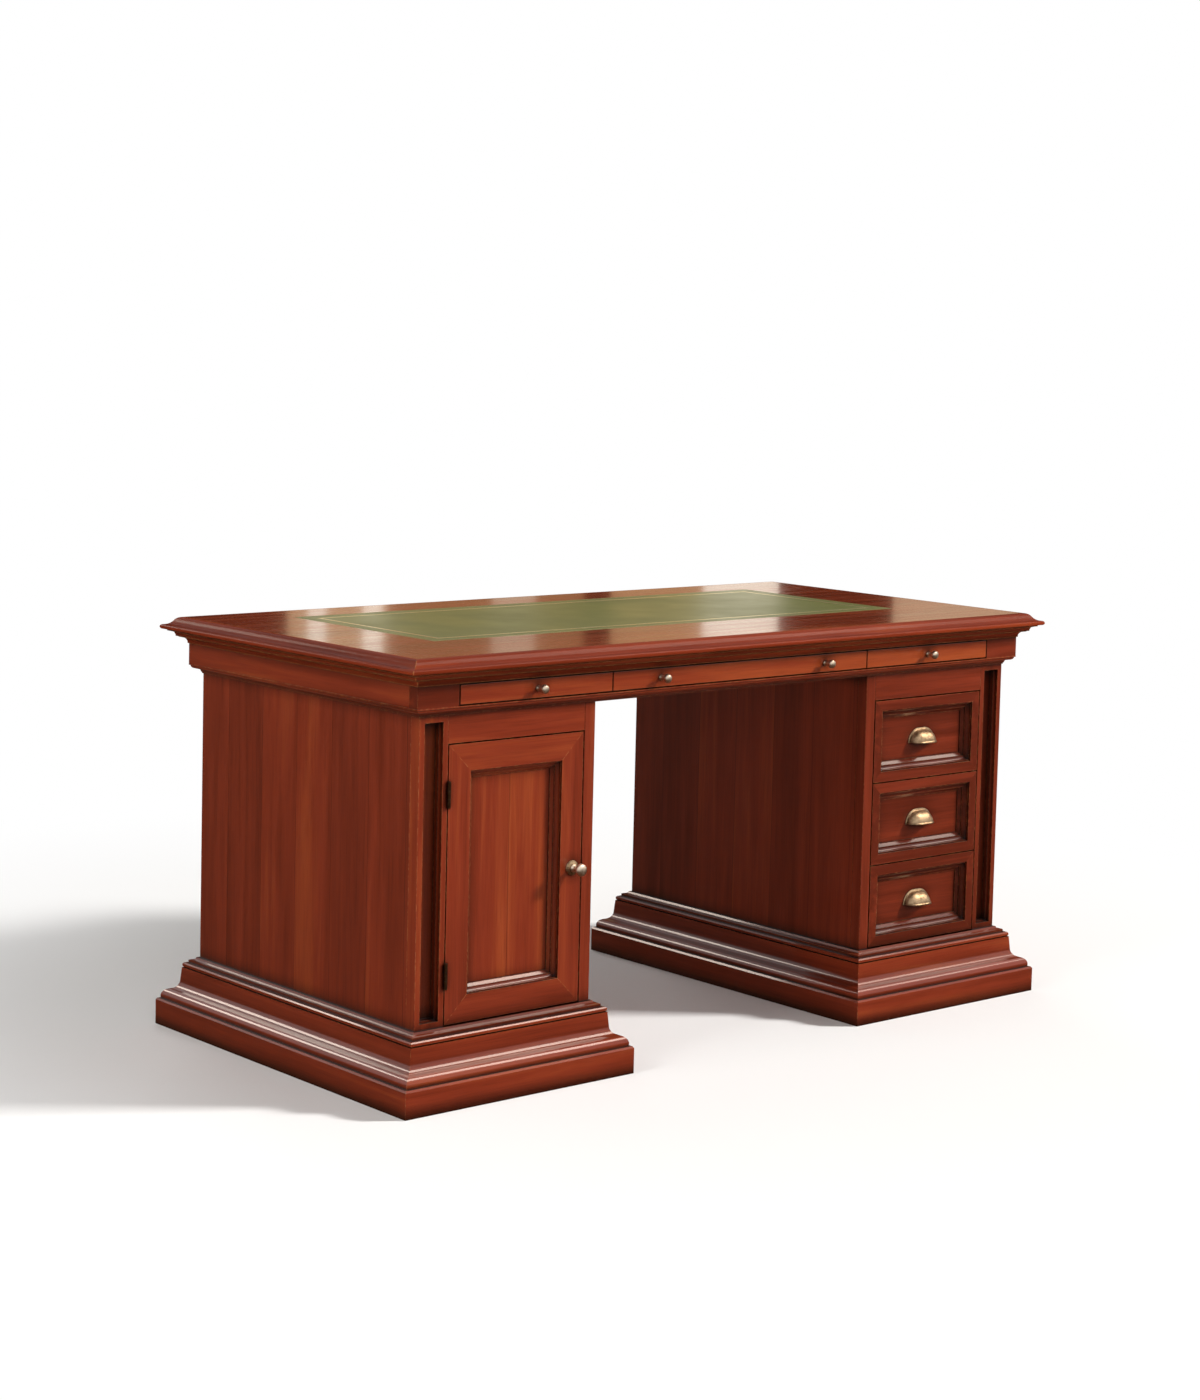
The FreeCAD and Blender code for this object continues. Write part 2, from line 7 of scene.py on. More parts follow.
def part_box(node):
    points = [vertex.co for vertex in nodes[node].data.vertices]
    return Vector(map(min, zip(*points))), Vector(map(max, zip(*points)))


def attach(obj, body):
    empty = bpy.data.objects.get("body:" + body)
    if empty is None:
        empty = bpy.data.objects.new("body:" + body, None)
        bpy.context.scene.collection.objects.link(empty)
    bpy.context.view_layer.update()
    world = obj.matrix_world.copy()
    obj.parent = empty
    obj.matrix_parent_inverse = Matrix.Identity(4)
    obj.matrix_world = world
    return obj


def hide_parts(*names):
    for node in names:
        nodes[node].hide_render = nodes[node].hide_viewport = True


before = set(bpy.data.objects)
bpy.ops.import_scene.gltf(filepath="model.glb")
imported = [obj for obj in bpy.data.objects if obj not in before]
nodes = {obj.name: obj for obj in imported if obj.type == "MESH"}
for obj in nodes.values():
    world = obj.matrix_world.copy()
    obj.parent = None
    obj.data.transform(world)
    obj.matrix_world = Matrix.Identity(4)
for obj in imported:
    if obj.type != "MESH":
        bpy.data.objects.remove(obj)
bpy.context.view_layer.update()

print("frame loaded,", len(nodes), "nodes")

mm = 0.001             # the scene is in metres
joinReach = 0.02 * mm  # points nearer than this are one point


def linear(hexColour):
    # sRGB hex to the linear values that sockets take
    channels = [int(hexColour[i:i + 2], 16) / 255 for i in (1, 3, 5)]
    return tuple(c / 12.92 if c <= 0.04045 else ((c + 0.055) / 1.055) ** 2.4 for c in channels) + (1.0,)


def addNode(tree, kind, settings=None, links=None):
    # settings are attributes, sockets or ramp stops; links go from an output to the named socket
    # Map Range takes 1 and 2 to 3 and 4; Mix has its share in 0, numbers in 2 and 3, colours in 6 and 7
    node = tree.nodes.new("ShaderNode" + kind)
    for key, value in (settings or {}).items():
        if key == "stops":
            while len(node.color_ramp.elements) < len(value):
                node.color_ramp.elements.new(1.0)
            for element, (place, colour) in zip(node.color_ramp.elements, value):
                element.position = place
                element.color = linear(colour)
        elif isinstance(key, str) and hasattr(node, key):
            setattr(node, key, value)
        else:
            node.inputs[key].default_value = value
    for key, source in (links or {}).items():
        tree.links.new(source, node.inputs[key])
    return node


def newMaterial(name):
    material = bpy.data.materials.new(name)
    material.use_nodes = True
    material.node_tree.nodes.clear()
    return material, material.node_tree


def dress(names, material):
    for name in names:
        nodes[name].material_slots[0].material = material


def dressedIn(start):
    # the nodes whose CAD material has a name that starts so
    return [name for name, node in nodes.items() if node.material_slots[0].material.name.startswith(start)]


# Polished wood: cherry stained red-brown, glazed dark in the recesses, rubbed through on the arrises and
# lacquered, with painted shade in the recesses and painted highlights on the arrises. The eye gets broad
# warm streaks along each board, a fine pore, painted dark corners, pale arrises and a soft shine.

woodLook = {
    "dark": "#571c0b",
    "middle": "#792b14",
    "light": "#92401b",
    # almost black: the glaze left in the corners, and painted shade in recesses and under overhangs
    "glazeAndShade": "#0e0401",
    # pale wood of rubbed arrises, also a painted highlight along them
    "rubbedAndHighlight": "#b97c4c",
    "toneWidth": 95 * mm,      # broad light and dark bands across the grain
    "toneSpread": 0.6,
    "toneMiddle": 0.19,
    "streakWidth": 16 * mm,
    "poreWidth": 1.6 * mm,     # real pores are 0.2 mm wide, drawn coarser to show
    "poreDepth": 0.12 * mm,
    "boardWidth": 111 * mm,    # the edge-jointed boards of the sides and panels
    "boardShift": 7.0,         # metres at most along the grain, so that no two boards match
    "boardSpread": 0.14,       # how far boards differ in tone
    "sideSeam": 10 * mm,       # first seam, from the front edge of a side
    "panelSeam": -20 * mm,     # first seam, from the left edge of the door's panel
    "seamWidth": 1.2 * mm,     # a closed joint, drawn wider to show
    "seamShade": 0.45,
    # how far from a corner the glaze and the painted shade reach
    "glazeAndShadeReach": 30 * mm,
    "patchWidth": 7 * mm,      # the rubbing and painted highlight on an arris come and go in such patches
    "waveWidth": 70 * mm,      # a planed board is never quite flat
    "waveDepth": 0.5 * mm,
    "roughnessSpread": (-0.06, 0.08),  # along the streaks
    "ior": 1.48,
}
woodFinish = {
    "tone": 0.0,               # lighter above zero, darker below
    "figure": 0.55,            # strength of the streaks
    "pores": 0.18,             # how dark the pores are
    "relief": 0.25,            # strength of waves and pores as relief
    "worn": (0.0, 0.8),        # least and most rubbing and painted highlight on an arris
    "wornWidth": 1.3 * mm,
    "roughness": 0.34,         # of the wood below the lacquer
    "shine": 0.1,
    "coat": 0.8,               # how full the lacquer is
    "coatRoughness": 0.14,
}


def polishedWood(name, grain, boards=None, ring=None, **changes):
    # grain: the axis along the fibres; boards: axis and first seam of edge-jointed boards;
    # ring: axis and size both ways of a mitred ring; changes: what differs from woodFinish
    finish = {**woodFinish, **changes}
    material, tree = newMaterial(name)
    place = addNode(tree, "TexCoord")
    xyz = addNode(tree, "SeparateXYZ", links={0: place.outputs["Object"]})
    order = {"x": (0, 1, 2), "y": (1, 0, 2), "z": (2, 0, 1)}[grain]
    along, across, through = (xyz.outputs[i] for i in order)
    if ring:
        # each length of a ring has its grain along itself: the nearer outer edge tells which length it is
        share = addNode(tree, "SeparateXYZ", links={0: place.outputs["Generated"]})
        edges = []
        for axis, size in ring:
            middle = addNode(tree, "Math", {"operation": "SUBTRACT", 1: 0.5}, {0: share.outputs[axis]})
            out = addNode(tree, "Math", {"operation": "ABSOLUTE"}, {0: middle.outputs[0]})
            edges.append(addNode(tree, "Math", {"operation": "MULTIPLY_ADD", 1: size, 2: -size / 2},
                                 {0: out.outputs[0]}))
        onSide = addNode(tree, "Math", {"operation": "GREATER_THAN"},
                         {0: edges[0].outputs[0], 1: edges[1].outputs[0]})
        first, second = (xyz.outputs[axis] for axis, size in ring)
        along = addNode(tree, "Mix", links={0: onSide.outputs[0], 2: first, 3: second}).outputs[0]
        across = addNode(tree, "Mix", links={0: onSide.outputs[0], 2: second, 3: first}).outputs[0]
    seam = None
    if boards:
        axis, start = boards
        counted = addNode(tree, "Math", {"operation": "SUBTRACT", 1: start}, {0: xyz.outputs[axis]})
        counted = addNode(tree, "Math", {"operation": "DIVIDE", 1: woodLook["boardWidth"]},
                          {0: counted.outputs[0]})
        number = addNode(tree, "Math", {"operation": "FLOOR"}, {0: counted.outputs[0]})
        chance = addNode(tree, "TexWhiteNoise", {"noise_dimensions": "1D"}, {"W": number.outputs[0]})
        along = addNode(tree, "Math", {"operation": "MULTIPLY_ADD", 1: woodLook["boardShift"]},
                        {0: chance.outputs["Value"], 2: along}).outputs[0]
        fromEdge = addNode(tree, "Math", {"operation": "PINGPONG", 1: 0.5}, {0: counted.outputs[0]})
        seamShare = woodLook["seamWidth"] / woodLook["boardWidth"]
        seam = addNode(tree, "MapRange", {1: 0.0, 2: seamShare, 3: woodLook["seamShade"], 4: 1.0},
                       {0: fromEdge.outputs[0]})

    def fibres(width, stretch, detail, distortion):
        # noise drawn out along the grain
        drawn = addNode(tree, "Math", {"operation": "MULTIPLY", 1: 1 / stretch}, {0: along})
        vector = addNode(tree, "CombineXYZ", links={0: drawn.outputs[0], 1: across, 2: through})
        return addNode(tree, "TexNoise", {"Scale": 1 / width, "Detail": detail, "Distortion": distortion},
                       {"Vector": vector.outputs[0]}).outputs["Fac"]

    broad = fibres(woodLook["toneWidth"], stretch=9, detail=2.0, distortion=0.3)
    streak = fibres(woodLook["streakWidth"], stretch=22, detail=3.0, distortion=0.6)
    pore = fibres(woodLook["poreWidth"], stretch=40, detail=2.0, distortion=0.0)
    # the streaks vary about a half, which comes off again, so that a stronger figure isn't paler
    ground = finish["tone"] + woodLook["toneMiddle"] - finish["figure"] / 2
    mixed = addNode(tree, "Math", {"operation": "MULTIPLY_ADD", 1: woodLook["toneSpread"], 2: ground},
                    {0: broad})
    mixed = addNode(tree, "Math", {"operation": "MULTIPLY_ADD", 1: finish["figure"]},
                    {0: streak, 2: mixed.outputs[0]})
    if boards:
        mixed = addNode(tree, "Math", {"operation": "MULTIPLY_ADD", 1: woodLook["boardSpread"]},
                        {0: chance.outputs["Value"], 2: mixed.outputs[0]})
    stain = addNode(tree, "ValToRGB", {"stops": [(0.22, woodLook["dark"]), (0.52, woodLook["middle"]),
                                                 (0.80, woodLook["light"])]}, {0: mixed.outputs[0]})
    poreShade = addNode(tree, "MapRange", {1: 0.30, 2: 0.55, 3: 1.0 - finish["pores"], 4: 1.0}, {0: pore})
    colour = addNode(tree, "Mix", {"data_type": "RGBA", "blend_type": "MULTIPLY", 0: 1.0},
                     {6: stain.outputs[0], 7: poreShade.outputs[0]})
    if seam:
        colour = addNode(tree, "Mix", {"data_type": "RGBA", "blend_type": "MULTIPLY", 0: 1.0},
                         {6: colour.outputs[2], 7: seam.outputs[0]})
    # arrises rubbed through to paler wood and painted with a highlight, broken up along their length
    softened = addNode(tree, "Bevel", {"samples": 4, "Radius": finish["wornWidth"]})
    surface = addNode(tree, "NewGeometry")
    turn = addNode(tree, "VectorMath", {"operation": "DOT_PRODUCT"},
                   {0: softened.outputs[0], 1: surface.outputs["Normal"]})
    arris = addNode(tree, "MapRange", {1: 0.97, 2: 0.80, 3: 0.0, 4: 1.0}, {0: turn.outputs["Value"]})
    patch = addNode(tree, "TexNoise", {"Scale": 1 / woodLook["patchWidth"], "Detail": 3.0},
                    {"Vector": place.outputs["Object"]})
    least, most = finish["worn"]
    patchy = addNode(tree, "MapRange", {1: 0.42, 2: 0.62, 3: least, 4: most}, {0: patch.outputs["Fac"]})
    rubbedAndHighlight = addNode(tree, "Math", {"operation": "MULTIPLY"}, {0: arris.outputs[0], 1: patchy.outputs[0]})
    colour = addNode(tree, "Mix", {"data_type": "RGBA", 7: linear(woodLook["rubbedAndHighlight"])},
                     {0: rubbedAndHighlight.outputs[0], 6: colour.outputs[2]})
    # glaze wiped off the flats and left in the corners, together with painted shade: the more enclosed a spot
    # is, the darker it is painted
    corner = addNode(tree, "AmbientOcclusion", {"samples": 6, "Distance": woodLook["glazeAndShadeReach"]})
    left = addNode(tree, "MapRange", {1: 0.60, 2: 0.97, 3: 0.97, 4: 0.0}, {0: corner.outputs["AO"]})
    colour = addNode(tree, "Mix", {"data_type": "RGBA", 7: linear(woodLook["glazeAndShade"])},
                     {0: left.outputs[0], 6: colour.outputs[2]})
    smooth, rough = (finish["roughness"] + spread for spread in woodLook["roughnessSpread"])
    roughness = addNode(tree, "MapRange", {1: 0.3, 2: 0.7, 3: smooth, 4: rough}, {0: streak})
    wave = addNode(tree, "TexNoise", {"Scale": 1 / woodLook["waveWidth"], "Detail": 1.0},
                   {"Vector": place.outputs["Object"]})
    planed = addNode(tree, "Bump", {"Strength": finish["relief"], "Distance": woodLook["waveDepth"]},
                     {"Height": wave.outputs["Fac"]})
    bump = addNode(tree, "Bump", {"Strength": finish["relief"], "Distance": woodLook["poreDepth"]},
                   {"Height": pore, "Normal": planed.outputs[0]})
    shader = addNode(tree, "BsdfPrincipled", {"IOR": woodLook["ior"],
                                              "Specular IOR Level": finish["shine"],
                                              "Coat Weight": finish["coat"],
                                              "Coat Roughness": finish["coatRoughness"]},
                     {"Base Color": colour.outputs[2], "Roughness": roughness.outputs[0],
                      "Normal": bump.outputs[0]})
    addNode(tree, "OutputMaterial", links={0: shader.outputs[0]})
    return material


def ringOf(name, *axes):
    low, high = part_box(name)
    return [(axis, high[axis] - low[axis]) for axis in axes]


sideBoards = (1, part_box("left_outer_side")[0][1] + woodLook["sideSeam"])
panelBoards = (0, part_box("door_panel")[0][0] + woodLook["panelSeam"])

dress(["left_outer_side", "left_inner_side", "right_outer_side", "right_inner_side"],
      polishedWood("cherry_stained_upright_boards", "z", boards=sideBoards, tone=-0.09, figure=0.4))
dress(["door_panel"], polishedWood("cherry_stained_door_panel", "z", boards=panelBoards, tone=0.06))
dress(["left_back", "right_back", "left_pilaster", "left_inner_stile", "door_stiles"],
      polishedWood("cherry_stained_upright", "z"))
# a darker copy of the cherry: painted shade over the right pedestal's pilaster and stile
dress(["right_pilaster", "right_inner_stile"], polishedWood("cherry_stained_dark_upright", "z", tone=-0.16))
dress(["door_rails", "left_front_rail", "frieze_back", "frieze_dust_board", "pedestal_floors",
       "pedestal_head_boards", "left_shelf", "locating_pegs"],
      polishedWood("cherry_stained_level", "x", tone=0.02))
# a darker copy of the cherry: painted shade over the right pedestal's drawers, rail and the frieze's corners
dress(["upper_drawer_panel", "middle_drawer_panel", "lower_drawer_panel", "right_front_rail",
       "frieze_corner_stiles"], polishedWood("cherry_stained_dark_level", "x", tone=-0.15))
# a lighter copy of the cherry: painted light that lifts the drawer fronts under the overhang of the top
dress(["left_frieze_drawer_front", "centre_frieze_drawer_front", "right_frieze_drawer_front"],
      polishedWood("cherry_stained_frieze", "x", tone=0.20))
dress(["frieze_ends"], polishedWood("cherry_stained_crosswise", "y", tone=0.02))
dress(["top_board"],
      polishedWood("cherry_polished_top", "x", pores=0.03, relief=0.02, roughness=0.26, coat=0.6))
# the wide, strong pale band on its arrises is a painted highlight along the nose of the moulding
dress(["top_edge_moulding"],
      polishedWood("cherry_top_moulding", "x", ring=ringOf("top_edge_moulding", 0, 1), pores=0.06,
                   worn=(0.5, 1.0), wornWidth=3.5 * mm, roughness=0.30, shine=0.02, coat=0.08))
dress(["frieze_base_moulding"],
      polishedWood("cherry_frieze_moulding", "x", ring=ringOf("frieze_base_moulding", 0, 1)))
dress(["left_plinth", "right_plinth"],
      polishedWood("cherry_plinth_moulding", "x", ring=ringOf("left_plinth", 0, 1), coatRoughness=0.07))
# a still darker copy of the cherry: painted shade over the right pedestal's drawer mouldings
dress(["upper_drawer_frame", "middle_drawer_frame", "lower_drawer_frame"],
      polishedWood("cherry_drawer_moulding", "x", ring=ringOf("upper_drawer_frame", 0, 2), tone=-0.24))
print("wood done")


# Drawer wood: pale planed lime, waxed. The eye gets a quiet straw colour with thin lines and no shine.

drawerLook = {
    "pale": "#d3b184",
    "deep": "#b58a58",
    "lineWidth": 5 * mm,
    "lineStretch": 20,         # lines run from front to back
    "lineDepth": 0.15 * mm,
    "relief": 0.3,
    "roughness": (0.50, 0.62),
    "ior": 1.5,
}


def planedDrawerWood():
    material, tree = newMaterial("lime_planed_and_waxed")
    place = addNode(tree, "TexCoord")
    drawn = addNode(tree, "Mapping", {"Scale": (1.0, 1 / drawerLook["lineStretch"], 1.0)},
                    {0: place.outputs["Object"]})
    lines = addNode(tree, "TexNoise",
                    {"Scale": 1 / drawerLook["lineWidth"], "Detail": 4.0, "Distortion": 0.4},
                    {"Vector": drawn.outputs[0]})
    colour = addNode(tree, "ValToRGB", {"stops": [(0.3, drawerLook["deep"]), (0.65, drawerLook["pale"])]},
                     {0: lines.outputs["Fac"]})
    smooth, rough = drawerLook["roughness"]
    roughness = addNode(tree, "MapRange", {1: 0.3, 2: 0.7, 3: smooth, 4: rough}, {0: lines.outputs["Fac"]})
    bump = addNode(tree, "Bump", {"Strength": drawerLook["relief"], "Distance": drawerLook["lineDepth"]},
                   {"Height": lines.outputs["Fac"]})
    shader = addNode(tree, "BsdfPrincipled", {"IOR": drawerLook["ior"]},
                     {"Base Color": colour.outputs[0], "Roughness": roughness.outputs[0],
                      "Normal": bump.outputs[0]})
    addNode(tree, "OutputMaterial", links={0: shader.outputs[0]})
    return material


dress(dressedIn("drawer_wood"), planedDrawerWood())


# Antique brass in three finishes. Cast, browned and rubbed back: the eye gets dull gold on the high places
# and brown in the hollows. Turned and rubbed pale by hands: a soft glint. Rolled and browned: dark hinges.

castLook = {"bright": "#c2a684", "middle": "#957a5c", "brown": "#2a1d13", "hollow": 8 * mm}
turnedLook = {"bright": "#f0dfca", "middle": "#d8c3aa", "brown": "#3a2a1e", "hollow": 4 * mm}
hingeLook = {"bright": "#5d4630", "middle": "#452f1f", "brown": "#1d130c", "hollow": 4 * mm}
brassLook = {"cloudWidth": 6 * mm, "cloudDepth": 0.1 * mm, "relief": 0.2, "roughness": (0.34, 0.48)}


def antiqueBrass(name, look):
    material, tree = newMaterial(name)
    place = addNode(tree, "TexCoord")
    cloud = addNode(tree, "TexNoise", {"Scale": 1 / brassLook["cloudWidth"], "Detail": 4.0},
                    {"Vector": place.outputs["Object"]})
    metal = addNode(tree, "ValToRGB", {"stops": [(0.32, look["middle"]), (0.66, look["bright"])]},
                    {0: cloud.outputs["Fac"]})
    hollow = addNode(tree, "AmbientOcclusion", {"samples": 6, "Distance": look["hollow"]})
    browned = addNode(tree, "MapRange", {1: 0.25, 2: 0.85, 3: 0.9, 4: 0.0}, {0: hollow.outputs["AO"]})
    colour = addNode(tree, "Mix", {"data_type": "RGBA", 7: linear(look["brown"])},
                     {0: browned.outputs[0], 6: metal.outputs[0]})
    smooth, rough = brassLook["roughness"]
    roughness = addNode(tree, "MapRange", {1: 0.3, 2: 0.7, 3: smooth, 4: rough}, {0: cloud.outputs["Fac"]})
    bump = addNode(tree, "Bump", {"Strength": brassLook["relief"], "Distance": brassLook["cloudDepth"]},
                   {"Height": cloud.outputs["Fac"]})
    shader = addNode(tree, "BsdfPrincipled", {"Metallic": 1.0},
                     {"Base Color": colour.outputs[2], "Roughness": roughness.outputs[0],
                      "Normal": bump.outputs[0]})
    addNode(tree, "OutputMaterial", links={0: shader.outputs[0]})
    return material


castBrass = antiqueBrass("brass_cast_and_browned", castLook)
turnedBrass = antiqueBrass("brass_turned_and_rubbed_pale", turnedLook)
darkBrass = antiqueBrass("brass_rolled_and_browned_dark", hingeLook)
dress(dressedIn("antique_brass"), turnedBrass)
dress(["door_rosette"], castBrass)
dress(["hinge_case_leaves", "hinge_door_leaves", "hinge_pins"], darkBrass)
print("drawer wood and brass done")


def addPiece(name, form, material, body, node):
    # a finer piece that stands for a CAD node and moves with its body
    mesh = bpy.data.meshes.new(name)
    form.to_mesh(mesh)
    form.free()
    mesh.shade_smooth()
    mesh.materials.append(material)
    piece = bpy.data.objects.new(name, mesh)
    bpy.context.scene.collection.objects.link(piece)
    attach(piece, body)
    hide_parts(node)
    return piece


def addRows(form, rows, closed):
    # quads between rows of points of equal count
    made = [[form.verts.new(point) for point in row] for row in rows]
    for near, far in zip(made, made[1:]):
        for i in range(0 if closed else 1, len(near)):
            form.faces.new((near[i - 1], near[i], far[i], far[i - 1]))
    return made


# Knobs: turned brass, each a smooth waisted stem under a domed head

knobLook = {
    "sides": 32,
    # out from the axis and up from the face, as shares of the knob's radius and height
    "outline": ((0.62, 0.0), (0.63, 0.03), (0.58, 0.07), (0.44, 0.11), (0.36, 0.18), (0.33, 0.30),
                (0.35, 0.42), (0.46, 0.49), (0.70, 0.54), (0.88, 0.60), (0.98, 0.67), (1.0, 0.75),
                (0.95, 0.84), (0.84, 0.91), (0.64, 0.965), (0.38, 0.99), (0.14, 1.0)),
    "spindle": 5.6 * mm,        # across the flats of the square bar behind the door's knob
    "rosetteGap": 0.3 * mm,     # between the rosette and the door's knob
}


def makeKnobs(node, body, foot, back):
    # knobs stand on the face at y = foot, towards -Y, and a square bar runs on to y = back
    low, high = (Vector(corner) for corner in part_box(node))
    radius = (high.z - low.z) / 2
    height = foot - low.y
    turns = [math.tau * i / knobLook["sides"] for i in range(knobLook["sides"])]
    form = bmesh.new()
    for x in sorted({round(low.x + radius, 5), round(high.x - radius, 5)}):  # one knob or two
        centre = Vector((x, foot, low.z + radius))
        rows = []
        for out, up in knobLook["outline"]:
            reach = radius * out
            rows.append([centre + Vector((reach * math.cos(turn), -height * up, reach * math.sin(turn)))
                         for turn in turns])
        made = addRows(form, rows, True)
        form.faces.new(made[0][::-1])
        form.faces.new(made[-1])
        if back > foot:
            reach = knobLook["spindle"] / math.sqrt(2)
            quarters = [math.pi / 2 * i for i in range(4)]
            rows = [[Vector((x + reach * math.cos(turn), y, centre.z + reach * math.sin(turn)))
                     for turn in quarters] for y in (foot, back)]
            bar = addRows(form, rows, True)
            form.faces.new(bar[-1])
    bmesh.ops.recalc_face_normals(form, faces=form.faces)
    addPiece(node + "_turned", form, turnedBrass, body, node)


for side in ("left", "centre", "right"):
    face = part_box(side + "_frieze_drawer_knobs")[1][1]
    makeKnobs(side + "_frieze_drawer_knobs", side + "_frieze_drawer", face, face)
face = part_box("door_rosette")[0][1] - knobLook["rosetteGap"]
makeKnobs("door_knob", "knob", face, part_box("door_knob")[1][1])


# Cup pulls: cast brass, a quarter-round shell with a flange on the drawer's panel and a lip on the open edge

pullLook = {
    "flange": 4 * mm,
    "flangeFlat": 0.8,          # share of the flange that is flat
    "plate": 2 * mm,
    "plateEdge": 0.6,           # share of the plate's thickness left at its edge
    "lip": 1.6 * mm,
    "lipHeight": 2.4 * mm,
    "lipSide": 0.8,             # share of the lip's height that is upright
    "lipEasing": 0.4 * mm,
    "wall": 1.8 * mm,
    "steps": 14,                # in each quarter round
}


def makePull(node, body):
    low, high = (Vector(corner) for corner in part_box(node))
    middle = Vector(((low.x + high.x) / 2, high.y, low.z))
    flange = pullLook["flange"]
    radius = high.z - low.z - flange
    half = (high.x - low.x) / 2 - radius - flange
    steps = pullLook["steps"]
    quarter = [math.pi / 2 * i / steps for i in range(steps + 1)]

    def arch(reach):
        right = [(half + reach * math.cos(turn), reach * math.sin(turn)) for turn in quarter]
        return right + [(-x, z) for x, z in reversed(right)]

    def cup(reach, up, lift):
        # the arch tipped forward from the panel by a quarter turn less the angle up, and lifted
        return [middle + Vector((x, -z * math.cos(up), z * math.sin(up) + lift)) for x, z in arch(reach)]

    def flat(reach, out):
        return [middle + Vector((x, -out, z)) for x, z in arch(reach)]

    lip = radius + pullLook["lip"]
    inner = radius - pullLook["wall"]
    height = pullLook["lipHeight"]
    plate = pullLook["plate"]
    start = math.asin(height / radius)
    upward = [start + (math.pi / 2 - start) * i / steps for i in range(steps + 1)]
    rows = [cup(inner, up, 0) for up in reversed(upward)]
    rows += [cup(inner, 0, 0), cup(lip, 0, 0), cup(lip, 0, height * pullLook["lipSide"]),
             cup(lip - pullLook["lipEasing"], 0, height)]
    rows += [cup(radius, up, 0) for up in upward[:-1]]
    rows += [flat(radius, plate), flat(radius + flange * pullLook["flangeFlat"], plate),
             flat(radius + flange, plate * pullLook["plateEdge"]), flat(radius + flange, 0)]
    form = bmesh.new()
    addRows(form, rows, False)
    bmesh.ops.remove_doubles(form, verts=form.verts, dist=joinReach)
    bmesh.ops.recalc_face_normals(form, faces=form.faces)
    addPiece(node + "_cast", form, castBrass, body, node)


for level in ("upper", "middle", "lower"):
    makePull(level + "_drawer_pull", level + "_drawer")
print("knobs and pulls done")


# Leather: hide dyed green and glazed. The eye gets a fine pebble, soft clouds and a low sheen.
# Its border is tooled in gold leaf, worn through here and there. The eye gets two pale lines that glint.

leatherLook = {
    "green": "#6c6d3c",
    "deep": "#5c5e32",
    "gold": "#efdfae",
    "pebble": 2.2 * mm,        # the grain is under 1 mm, drawn coarser to show
    "pebbleDepth": 0.25 * mm,
    "pebbleShade": 0.35,
    "relief": 0.35,
    "cloudWidth": 120 * mm,
    "wearWidth": 5 * mm,       # of the bare spots in the gold
    "lines": ((5 * mm, 2.0 * mm), (30 * mm, 11.0 * mm)),  # inset and width of each tooled band
    "lineDepth": 0.25 * mm,
    "edge": 0.5 * mm,
    "edgeRoll": 0.3,           # share of the edge where its roll turns
    "roughness": (0.30, 0.38),
    "shine": 0.4,
    "ior": 1.45,
    "goldRoughness": 0.3,
}


def dyedLeather():
    material, tree = newMaterial("hide_dyed_and_glazed")
    place = addNode(tree, "TexCoord")
    pebble = addNode(tree, "TexVoronoi", {"feature": "SMOOTH_F1", "Scale": 1 / leatherLook["pebble"]},
                     {"Vector": place.outputs["Object"]})
    cloud = addNode(tree, "TexNoise", {"Scale": 1 / leatherLook["cloudWidth"], "Detail": 3.0},
                    {"Vector": place.outputs["Object"]})
    tone = addNode(tree, "Math", {"operation": "MULTIPLY_ADD", 1: leatherLook["pebbleShade"]},
                   {0: pebble.outputs["Distance"], 2: cloud.outputs["Fac"]})
    colour = addNode(tree, "ValToRGB", {"stops": [(0.45, leatherLook["green"]), (0.85, leatherLook["deep"])]},
                     {0: tone.outputs[0]})
    smooth, rough = leatherLook["roughness"]
    roughness = addNode(tree, "MapRange", {1: 0.3, 2: 0.7, 3: smooth, 4: rough}, {0: cloud.outputs["Fac"]})
    bump = addNode(tree, "Bump", {"Strength": leatherLook["relief"], "Distance": leatherLook["pebbleDepth"],
                                  "invert": True}, {"Height": pebble.outputs["Distance"]})
    shader = addNode(tree, "BsdfPrincipled",
                     {"IOR": leatherLook["ior"], "Specular IOR Level": leatherLook["shine"]},
                     {"Base Color": colour.outputs[0], "Roughness": roughness.outputs[0],
                      "Normal": bump.outputs[0]})
    addNode(tree, "OutputMaterial", links={0: shader.outputs[0]})
    return material


def goldLeaf():
    material, tree = newMaterial("gold_leaf_tooled")
    place = addNode(tree, "TexCoord")
    wear = addNode(tree, "TexNoise", {"Scale": 1 / leatherLook["wearWidth"], "Detail": 3.0},
                   {"Vector": place.outputs["Object"]})
    kept = addNode(tree, "MapRange", {1: 0.28, 2: 0.45, 3: 0.0, 4: 1.0}, {0: wear.outputs["Fac"]})
    colour = addNode(tree, "Mix", {"data_type": "RGBA", 6: linear(leatherLook["deep"]),
                                   7: linear(leatherLook["gold"])}, {0: kept.outputs[0]})
    shader = addNode(tree, "BsdfPrincipled", {"Roughness": leatherLook["goldRoughness"]},
                     {"Base Color": colour.outputs[2], "Metallic": kept.outputs[0]})
    addNode(tree, "OutputMaterial", links={0: shader.outputs[0]})
    return material


